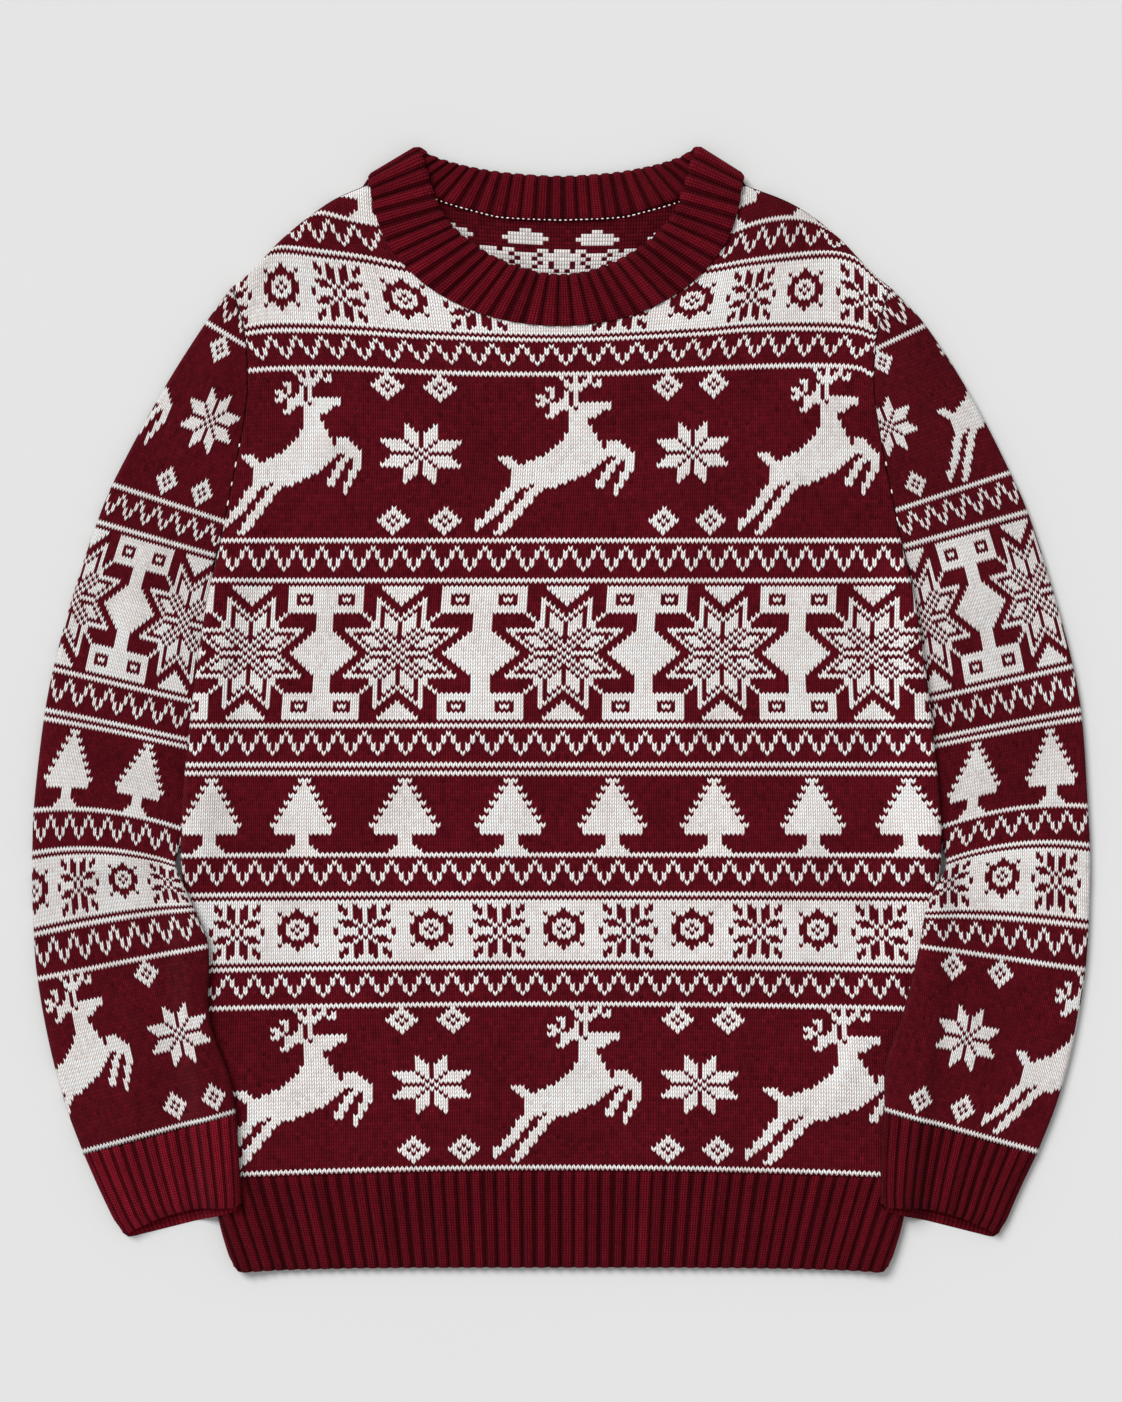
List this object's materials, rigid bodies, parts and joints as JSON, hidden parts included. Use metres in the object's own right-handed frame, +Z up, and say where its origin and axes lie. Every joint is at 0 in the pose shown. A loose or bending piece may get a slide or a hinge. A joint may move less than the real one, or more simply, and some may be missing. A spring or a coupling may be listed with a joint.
{
  "type": "christmas sweater",
  "caption": "Crew-neck jacquard sweater laid flat, front up, forearms folded down over its sides, with ribbed collar, cuffs and hem.",
  "frame": {"origin": "on the surface the sweater lies on, under the middle of its whole outline", "axes": "+X to the right as seen from above, +Y from the hem to the neck, +Z up from the surface"},
  "size_m": [0.6865, 0.728, 0.0175],
  "materials": {
    "knit": "wine and off-white jacquard knit",
    "rib": "wine ribbed knit"
  },
  "bodies": {
    "root": {"front": "knit", "back": "knit", "sleeve_left": "knit", "sleeve_right": "knit", "cuff_left": "rib", "cuff_right": "rib", "hem_rib": "rib", "collar": "rib"}
  },
  "joints": []
}
